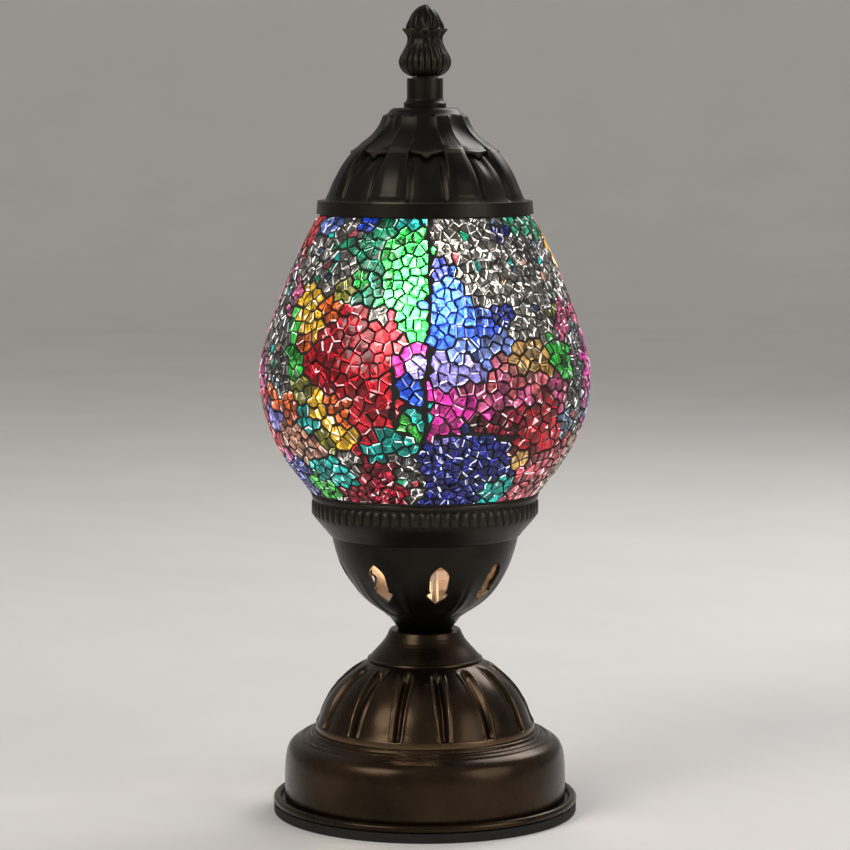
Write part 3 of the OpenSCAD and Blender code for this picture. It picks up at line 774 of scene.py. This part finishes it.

# Colour of the glass; the strength of its painted glow, an emission standing in for bulb light
# shining through it that shows most at the painted glints on its edges; and the gleam of its face,
# which sets both how bright its face's painted glow is and how light its glass colour is. It is
# low for clear and smoky glass, which are painted dark for the shaded inside seen through them
GLASS = {
    "clear": ((0.52, 0.48, 0.43), 2.4, 0.17), "smoke": ((0.3, 0.29, 0.28), 2.3, 0.15),
    "emerald": ((0.02, 0.55, 0.28), 1.2, 0.45), "green": ((0.01, 0.8, 0.08), 1.2, 0.62),
    "blue": ((0.008, 0.1, 0.95), 1.5, 0.42), "pale_blue": ((0.2, 0.32, 0.95), 1.2, 0.45),
    "navy": ((0.03, 0.05, 0.5), 1.6, 0.26), "olive": ((0.5, 0.48, 0.06), 1.2, 0.45),
    "yellow": ((1.0, 0.58, 0.02), 1.9, 0.62), "gold": ((0.85, 0.5, 0.14), 1.3, 0.5),
    "orange": ((1.0, 0.18, 0.02), 1.5, 0.55), "red": ((0.85, 0.006, 0.03), 1.4, 0.42),
    "crimson": ((0.65, 0.01, 0.06), 1.4, 0.34), "maroon": ((0.3, 0.01, 0.04), 1.5, 0.22),
    "salmon": ((0.9, 0.16, 0.2), 1.3, 0.5), "peach": ((0.85, 0.4, 0.26), 1.2, 0.45),
    "pink": ((0.9, 0.16, 0.38), 1.3, 0.52), "magenta": ((0.92, 0.03, 0.48), 1.3, 0.52),
    "purple": ((0.36, 0.32, 0.95), 1.3, 0.46), "teal": ((0.01, 0.62, 0.55), 1.6, 0.5),
    "leaf": ((0.05, 0.65, 0.07), 1.3, 0.5), "steel": ((0.2, 0.3, 0.48), 1.2, 0.35),
    "tan": ((0.6, 0.4, 0.24), 1.3, 0.35),
}
# Colours that turn up singly among the clear and smoky chips, and how often
STRAYS = ("emerald", "teal", "peach", "steel", "tan", "salmon", "smoke", "smoke")
STRAY_SHARE = 0.16
BACK_COLOURS = ["clear", "red", "green", "blue", "yellow", "magenta", "teal", "orange", "clear",
                "navy", "salmon", "leaf", "purple", "clear", "gold", "pink", "smoke", "red"]
BACK_RADII = (4, 5, 6, 8, 11)
BACK_TRIES = 1500
PATCH_SPACING = 0.95
FRONT_HALF = 80.0
USUAL_SIZE = 2.75
CHIP_SIZE = {"clear": 2.2, "smoke": 2.1, "navy": 2.2, "steel": 2.2, "tan": 2.2, "crimson": 2.4,
             "red": 3.1, "green": 2.7, "blue": 2.6, "magenta": 2.8}
LONG_CHIPS = ("clear", "smoke", "navy", "tan", "crimson")
LONG_STRETCH, USUAL_STRETCH = 1.45, 1.2
MOST_LEAN = 0.6
CHIP_TRIES = 42000
MOST_CHIPS = 8000
# What a chip leaves of its cell for a joint: inside a patch, between patches of one colour,
# between colours, and at the ends of the globe
THIN_JOINT, ALIKE_JOINT, WIDE_JOINT, RIM_JOINT = 0.08, 0.12, 0.28, 0.15
JOINT_SPREAD = (-0.03, 0.05)
SEAM_WANDER = 0.6
SEAM_OVERRUN = 0.15
SEAM_REACH = 4.0
CELL_REACH = 0.25
NEIGHBOURS = 21
SLOPE_STEP = 0.01
# Depths under the globe's skin
CHIP_DEPTH, CHIP_SHOULDER, CHIP_FACE = 1.5, 0.42, 0.1
JOINT_CREST, JOINT_EDGE, JOINT_FLOOR = 0.5, 0.36, 1.75
BEVEL = 0.48
MOST_TILT = 0.2
# Painted light on the chips: the share of chips with one painted glint on a facet of the face,
# then the gleam (painted glow) of the back, of the sides and of the least lit bevels
FLASH_SHARE = 0.4
BACK_GLEAM, SIDE_GLEAM, BEVEL_GLEAM = 0.3, 0.03, 0.05

random.seed(11)
np.random.seed(11)


def globe_outline():
    widest = MOSAIC_Z + 43.6
    lower = bezier((41.5, MOSAIC_Z), (48.3, MOSAIC_Z + 9), (GLOBE_R, widest - 24.1),
                   (GLOBE_R, widest), 60)
    upper = bezier((GLOBE_R, widest), (GLOBE_R, widest + 10.9), (43.4, MOSAIC_TOP - 5.0),
                   (37.7, MOSAIC_TOP), 70)
    return np.array(lower + upper[1:])


OUTLINE = globe_outline()
STEPS = np.hypot(*np.diff(OUTLINE, axis=0).T)
# The height of a map of the globe that keeps angles, so that cells keep their shape
MAP_W = np.concatenate(([0.0], np.cumsum(2 * STEPS / (OUTLINE[1:, 0] + OUTLINE[:-1, 0]))))


def wrap(u):
    """An angle in radians brought to between -pi and pi."""
    return (u + math.pi) % (2 * math.pi) - math.pi


def map_w(z):
    return float(np.interp(z, OUTLINE[:, 1], MAP_W))


def map_radius(w):
    return float(np.interp(w, MAP_W, OUTLINE[:, 0]))


def map_height(w):
    return float(np.interp(w, MAP_W, OUTLINE[:, 1]))


def on_globe(u, w, depth):
    """The point at map place (u, w), in radians, depth mm under the skin, in metres."""
    r, z = map_radius(w), map_height(w)
    dr = map_radius(w + SLOPE_STEP) - map_radius(w - SLOPE_STEP)
    dz = map_height(w + SLOPE_STEP) - map_height(w - SLOPE_STEP)
    length = math.hypot(dr, dz)
    r -= depth * dz / length
    z += depth * dr / length
    return (r * math.sin(u) * MM, -r * math.cos(u) * MM, z * MM)


def all_patches():
    """Rows of (u, w, radius) and the colour of each."""
    rows, colours = [], []
    for colour, places in PATCHES.items():
        for azimuth, height, radius in places:
            rows.append((math.radians(azimuth), map_w(MOSAIC_Z + height), radius))
            colours.append(colour)
    for _ in range(BACK_TRIES):
        u = math.radians(random.uniform(FRONT_HALF, 360.0 - FRONT_HALF))
        w = random.uniform(0.0, MAP_W[-1])
        radius = random.choice(BACK_RADII)
        r = map_radius(w)
        if all(math.hypot(wrap(u - q[0]) * r, (w - q[1]) * r) > PATCH_SPACING * (radius + q[2])
               for q in rows):
            rows.append((u, w, radius))
            colours.append(random.choice(BACK_COLOURS))
    return np.array(rows), colours


PATCH_ROWS, PATCH_COLOURS = all_patches()


def patch_at(u, w):
    r = map_radius(w)
    du = wrap(u - PATCH_ROWS[:, 0])
    return int(np.argmin(np.hypot(du * r, (w - PATCH_ROWS[:, 1]) * r) / PATCH_ROWS[:, 2]))


def seam_lines():
    """Straight pieces of the seams: the map places of both ends, and half the width in mm."""
    rows = []
    for places, width in SEAMS:
        line = [(math.radians(a + random.uniform(-SEAM_WANDER, SEAM_WANDER)),
                 map_w(MOSAIC_Z + h)) for a, h in places]
        rows += [(*a, *b, width / 2) for a, b in zip(line, line[1:])]
    return rows


SEAM_LINES = seam_lines()


def seam_cuts(u, w, r):
    """(point, direction) of the cut that keeps a chip at (u, w) off each seam near it."""
    cuts = []
    for u1, w1, u2, w2, half in SEAM_LINES:
        du, dw = u2 - u1, w2 - w1
        length = math.hypot(du, dw)
        t = ((u - u1) * du + (w - w1) * dw) / length ** 2
        if not -SEAM_OVERRUN < t < 1.0 + SEAM_OVERRUN:
            continue
        t = min(1.0, max(0.0, t))
        x, y = u - (u1 + t * du), w - (w1 + t * dw)
        off = math.hypot(x, y)
        if off * r < SEAM_REACH and off > 1e-6:
            out = (-x / off, -y / off)
            cuts.append(((u1 + t * du - out[0] * half / r, w1 + t * dw - out[1] * half / r), out))
    return cuts


def throw_chips():
    """Centres of the chips: no two are nearer than their patch's chip size."""
    lean = np.random.uniform(-MOST_LEAN, MOST_LEAN, len(PATCH_ROWS))
    places = np.zeros((MOST_CHIPS, 2))
    patches = []
    count = 0
    for _ in range(CHIP_TRIES):
        w = random.uniform(0.0, MAP_W[-1])
        r = map_radius(w)
        if random.random() > (r / GLOBE_R) ** 2:
            continue
        u = random.uniform(-math.pi, math.pi)
        patch = patch_at(u, w)
        colour = PATCH_COLOURS[patch]
        size = CHIP_SIZE.get(colour, USUAL_SIZE)
        longer = LONG_STRETCH if colour in LONG_CHIPS else USUAL_STRETCH
        if count:
            du = wrap(u - places[:count, 0]) * r
            dw = (w - places[:count, 1]) * r
            c, s = math.cos(lean[patch]), math.sin(lean[patch])
            across, along = c * du + s * dw, -s * du + c * dw
            if np.min((across * longer) ** 2 + (along / longer) ** 2) < size * size:
                continue
        places[count] = (u, w)
        patches.append(patch)
        count += 1
    return places[:count], patches


def cut(polygon, tags, point, direction, tag):
    """Keeps the side of a polygon away from direction, and notes what made each edge."""
    kept, kept_tags = [], []
    n = len(polygon)
    side = [(p[0] - point[0]) * direction[0] + (p[1] - point[1]) * direction[1] for p in polygon]
    if max(side) <= 0.0:
        return polygon, tags
    for i in range(n):
        j = (i + 1) % n
        if side[i] <= 0.0:
            kept.append(polygon[i])
            kept_tags.append(tags[i] if side[j] <= 0.0 or side[i] < 0.0 else tag)
        if (side[i] < 0.0 < side[j]) or (side[j] < 0.0 < side[i]):
            t = side[i] / (side[i] - side[j])
            kept.append((polygon[i][0] + t * (polygon[j][0] - polygon[i][0]),
                         polygon[i][1] + t * (polygon[j][1] - polygon[i][1])))
            kept_tags.append(tag if side[i] < 0.0 else tags[i])
    return kept, kept_tags


def cell_at(u, w, centres, owners):
    """The part of the map nearest to a chip's centre, and what lies across each of its edges."""
    near = np.argsort((centres[:, 0] - u) ** 2 + (centres[:, 1] - w) ** 2)[1:NEIGHBOURS + 1]
    cell = [(u - CELL_REACH, w - CELL_REACH), (u + CELL_REACH, w - CELL_REACH),
            (u + CELL_REACH, w + CELL_REACH), (u - CELL_REACH, w + CELL_REACH)]
    tags = [None] * 4
    for j in near:
        x, y = centres[j]
        cell, tags = cut(cell, tags, ((u + x) / 2, (w + y) / 2), (x - u, y - w), owners[j])
    cell, tags = cut(cell, tags, (u, 0.0), (0.0, -1.0), "rim")
    return cut(cell, tags, (u, float(MAP_W[-1])), (0.0, 1.0), "rim")


def joint_to(tag, patch, patches):
    """The joint that a chip of a patch leaves to what lies across an edge."""
    if tag == "rim":
        return RIM_JOINT
    if tag is None or patches[tag] == patch:
        return THIN_JOINT
    alike = PATCH_COLOURS[patches[tag]] == PATCH_COLOURS[patch]
    return ALIKE_JOINT if alike else WIDE_JOINT


def chip_in(cell, tags, u, w, patch, patches):
    """A cell's chip: the cell less the joint along each edge and the seams near it."""
    r = map_radius(w)
    chip, chip_tags = cell, tags
    for k, a in enumerate(cell):
        b = cell[(k + 1) % len(cell)]
        length = math.hypot(b[0] - a[0], b[1] - a[1])
        if length < 1e-6:
            continue
        inward = (joint_to(tags[k], patch, patches) + random.uniform(*JOINT_SPREAD)) / r
        out = ((b[1] - a[1]) / length, -(b[0] - a[0]) / length)
        edge = (a[0] - out[0] * inward, a[1] - out[1] * inward)
        chip, chip_tags = cut(chip, chip_tags, edge, out, "joint")
        if len(chip) < 3:
            return None
    for point, out in seam_cuts(u, w, r):
        chip, chip_tags = cut(chip, chip_tags, point, out, "joint")
        if len(chip) < 3:
            return None
    return chip


def chip_cells():
    """(cell, chip outline, patch) for each chip, in map places."""
    places, patches = throw_chips()
    centres = np.vstack((places, places + (2 * math.pi, 0), places - (2 * math.pi, 0)))
    owners = list(range(len(places))) * 3
    cells = []
    for (u, w), patch in zip(places, patches):
        cell, tags = cell_at(u, w, centres, owners)
        cells.append((cell, chip_in(cell, tags, u, w, patch, patches), patch))
    return cells


def tidy_outline(outline, r, least=0.3):
    """The outline without its edges shorter than least mm."""
    kept = []
    for p in outline:
        if not kept or math.dist(p, kept[-1]) * r > least:
            kept.append(p)
    while len(kept) > 3 and math.dist(kept[0], kept[-1]) * r < least:
        kept.pop()
    return kept


def add_chip(vertices, faces, gleams, outline, painted_glow_and_clarity):
    """A flat-backed chip with a bevelled, slightly tilted and domed face. gleams gets a number for
    each face, how brightly its painted glow shines: painted glints on the bevels of one side,
    drawn at random, shine most, standing in for bulb light caught on the chip's edges."""
    n = len(outline)
    cu = sum(p[0] for p in outline) / n
    cw = sum(p[1] for p in outline) / n
    r = map_radius(cw)
    size = min(math.hypot(p[0] - cu, p[1] - cw) for p in outline) * r
    shrink = 1.0 - min(0.45, BEVEL / max(size, 0.4))
    tilt = random.uniform(0.0, MOST_TILT)
    turn = random.uniform(0.0, 2 * math.pi)
    first = len(vertices)
    for depth, scale in ((CHIP_DEPTH, 1.0), (CHIP_SHOULDER, 1.0), (CHIP_FACE, shrink)):
        for u, w in outline:
            du, dw = (u - cu) * scale, (w - cw) * scale
            lean = tilt * (math.cos(turn) * du + math.sin(turn) * dw) * r / max(size, 0.6)
            vertices.append(on_globe(cu + du, cw + dw, depth + (lean + tilt if depth < 1 else 0)))
    vertices.append(on_globe(cu, cw, tilt))
    faces.append(tuple(first + k for k in reversed(range(n))))
    gleams.append(BACK_GLEAM)
    # Painted highlights: the bevels that face a random side get painted glints
    lit = random.uniform(0.0, 2 * math.pi)
    glint = random.uniform(0.5, 1.25)
    # The face's painted glow and the lightness of its glass colour vary at random from chip to
    # chip
    body = painted_glow_and_clarity * random.uniform(0.45, 1.45)
    for ring in (0, 1):
        for k in range(n):
            m = (k + 1) % n
            base = first + ring * n
            faces.append((base + k, base + m, base + n + m, base + n + k))
            out = math.atan2(-(outline[m][0] - outline[k][0]), outline[m][1] - outline[k][1])
            facing = max(0.0, math.cos(out - lit))
            gleams.append(BEVEL_GLEAM + glint * facing if ring else SIDE_GLEAM)
    centre = first + 3 * n
    # On some chips one facet of the face gets a painted glint
    flash = random.randrange(n) if random.random() < FLASH_SHARE else None
    for k in range(n):
        faces.append((first + 2 * n + k, first + 2 * n + (k + 1) % n, centre))
        if k == flash:
            gleams.append(random.uniform(0.7, 1.0))
        else:
            gleams.append(body * random.uniform(0.5, 1.3))


def shades(colour, *stops):
    """Stops of a ramp, from a place and a share of the colour for each."""
    return [(place, tuple(share * c for c in colour)) for place, share in stops]


def chip_material(name):
    """Coloured glass with painted light: its emission and its glass colour are as bright as the
    gleam of each face says, a painted glow for the bulb's light through it and painted glints,
    near white, on its edges.
    """
    tint, strength, _ = GLASS[name]
    washed = tuple(0.96 * c + 0.04 for c in tint)
    pale = tuple(0.25 * c + 0.75 for c in tint)
    m = Material("chip_" + name, Transmission_Weight=1.0, IOR=1.5, Roughness=0.2,
                 Specular_IOR_Level=0.3)
    gleam = m.node("Attribute", attribute_name="gleam").outputs["Fac"]
    # Glass colour: darker where the painted gleam is low, lighter on the painted glints
    dim = m.ramp(gleam, *shades(washed, (0.0, 0.02), (0.3, 0.2), (0.6, 0.6), (1.0, 1.0)))
    cloud = m.ramp(m.noise(300.0, 2.0), (0.35, (0.5, 0.5, 0.5)), (0.6, (1.0, 1.0, 1.0)))
    m.colour(m.mix(1.0, dim, cloud, "MULTIPLY"))
    # Painted glow: emission from the gleam, pale at the brightest painted glints
    light = m.ramp(gleam, *shades(tint, (0.0, 0.0), (0.25, 0.06), (0.55, 0.35), (0.85, 0.85)),
                   (1.0, pale))
    m.glow(m.mix(1.0, light, cloud, "MULTIPLY"), strength)
    m.bump(m.noise(900.0, 2.0), 0.25, 0.0002)
    return m.data


def add_joint(vertices, faces, cell, chip):
    """The grout round one chip: a ring from the cell's edge to the chip, then down its side."""
    first = len(vertices)
    vertices += [on_globe(u, w, JOINT_CREST) for u, w in cell]
    inner = len(vertices)
    vertices += [on_globe(u, w, JOINT_EDGE) for u, w in chip]
    deep = len(vertices)
    vertices += [on_globe(u, w, JOINT_FLOOR) for u, w in chip]
    n, m = len(cell), len(chip)
    # Walk both outlines together and join the nearest corners
    start = min(range(m), key=lambda k: math.dist(chip[k], cell[0]))
    i = j = 0
    while i < n or j < m:
        ci, ni = i % n, (i + 1) % n
        cj, nj = (start + j) % m, (start + j + 1) % m
        step_cell = math.dist(cell[ni], chip[cj])
        step_chip = math.dist(cell[ci], chip[nj])
        if j >= m or (i < n and step_cell <= step_chip):
            faces.append((first + ci, first + ni, inner + cj))
            i += 1
        else:
            faces.append((first + ci, inner + nj, inner + cj))
            j += 1
    for k in range(m):
        q = (k + 1) % m
        faces.append((inner + k, inner + q, deep + q, deep + k))


def weld(piece, distance):
    """Joins corners nearer than distance mm."""
    work = bmesh.new()
    work.from_mesh(piece.data)
    bmesh.ops.remove_doubles(work, verts=work.verts, dist=distance * MM)
    bmesh.ops.recalc_face_normals(work, faces=work.faces)
    work.to_mesh(piece.data)
    work.free()


def add_mosaic():
    chips = {name: ([], [], []) for name in GLASS}
    net_vertices, net_faces = [], []
    for cell, chip, patch in chip_cells():
        r = map_radius(sum(p[1] for p in cell) / len(cell))
        cell = tidy_outline(cell, r, 0.12)
        if chip:
            chip = tidy_outline(chip, r)
        if chip and len(chip) >= 3:
            colour = PATCH_COLOURS[patch]
            if colour in ("clear", "smoke") and random.random() < STRAY_SHARE:
                colour = random.choice(STRAYS)
            add_chip(*chips[colour], chip, GLASS[colour][2])
            add_joint(net_vertices, net_faces, cell, chip)
        else:
            first = len(net_vertices)
            net_vertices += [on_globe(u, w, 0.4) for u, w in cell]
            net_faces.append(tuple(range(first, first + len(cell))))
    for name, (vertices, faces, gleams) in chips.items():
        piece = add_piece("chips_" + name, vertices, faces, chip_material(name), "shade",
                          smooth=False)
        piece.data.attributes.new("gleam", "FLOAT", "FACE").data.foreach_set("value", gleams)
    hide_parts("mosaic_chips")
    net = add_piece("grout_net", net_vertices, net_faces, GROUT, "shade",
                    smooth=False)
    weld(net, 0.03)
    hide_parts("grout_bed")


def add_grout_bead(name, z, up):
    """A thin bead of grout that closes the mosaic against the collar or the cap's rim."""
    r = map_radius(map_w(z))
    section = [(r - 2.0, z), (r + 0.1, z), (r + 0.1, z + 0.25 * up), (r - 0.3, z + 0.7 * up),
               (r - 2.0, z + 0.7 * up)]
    if up < 0:
        section.reverse()
    bead_piece = add_turned(name, lambda azimuth: section, 240, GROUT, "shade")
    weld(bead_piece, 0.001)


add_mosaic()
add_grout_bead("grout_bead_bottom", MOSAIC_Z - 0.12, 1.0)
add_grout_bead("grout_bead_top", MOSAIC_TOP - 0.02, -1.0)

# Stage and light -----------------------------------------------------------------------


def add_stage():
    """A pale round floor that curves up into a wall on every side, beyond any camera."""
    flat, bend, top = 2.4, 1.2, 2.0
    columns = 96
    profile = [(0.02, 0.0), (0.6, 0.0), (flat, 0.0)]
    profile += [(flat + bend * math.sin(a), bend - bend * math.cos(a))
                for a in (math.radians(6.0 * k) for k in range(1, 16))]
    profile.append((flat + bend, top))
    turns = [2 * math.pi * k / columns for k in range(columns)]
    vertices = [(r * math.sin(a), r * math.cos(a), z) for r, z in profile for a in turns]
    faces = [tuple(reversed(range(columns)))] + grid_faces(len(profile), columns, False)
    m = Material("floor_paint", Roughness=0.7)
    m.colour(m.ramp(m.noise(8.0), (0.3, (0.83, 0.81, 0.79)), (0.7, (0.87, 0.85, 0.83))))
    floor = add_mesh("floor", vertices, faces, m.data, True)


def add_light(name, kind, place, power, colour):
    data = bpy.data.lights.new(name, kind)
    data.energy = power
    data.color = colour
    light = bpy.data.objects.new(name, data)
    light.location = place
    bpy.context.scene.collection.objects.link(light)
    return light


def add_soft_light(name, place, size, power, colour):
    """A round light aimed at the middle of the lamp."""
    light = add_light(name, "AREA", place, power, colour)
    light.data.shape = "DISK"
    light.data.size = size
    aim = Vector((0.0, 0.0, 0.15)) - Vector(place)
    light.rotation_euler = aim.to_track_quat("-Z", "Y").to_euler()


def add_world(colour, strength):
    world = bpy.data.worlds.new("studio")
    world.use_nodes = True
    background = world.node_tree.nodes["Background"]
    background.inputs["Color"].default_value = (*colour, 1.0)
    background.inputs["Strength"].default_value = strength
    bpy.context.scene.world = world


def add_inner_lights():
    """Warm light that the bulb throws down into the bowl."""
    for k in range(4):
        place = at(21.0, 45.0 + 90.0 * k, BOWL_TOP + 6.0)
        light = add_light(f"bowl_light_{k}", "POINT", place, 0.035, (1.0, 0.78, 0.55))
        light.data.shadow_soft_size = 0.003


add_stage()
add_soft_light("key", (-0.9, -0.9, 1.0), 0.8, 9.0, (1.0, 0.96, 0.92))
add_soft_light("fill", (1.1, -0.7, 0.6), 0.9, 5.0, (1.0, 0.97, 0.94))
add_soft_light("rim", (0.5, 0.7, 0.9), 0.6, 5.0, (1.0, 1.0, 1.0))
add_world((1.0, 0.98, 0.96), 0.32)
add_inner_lights()
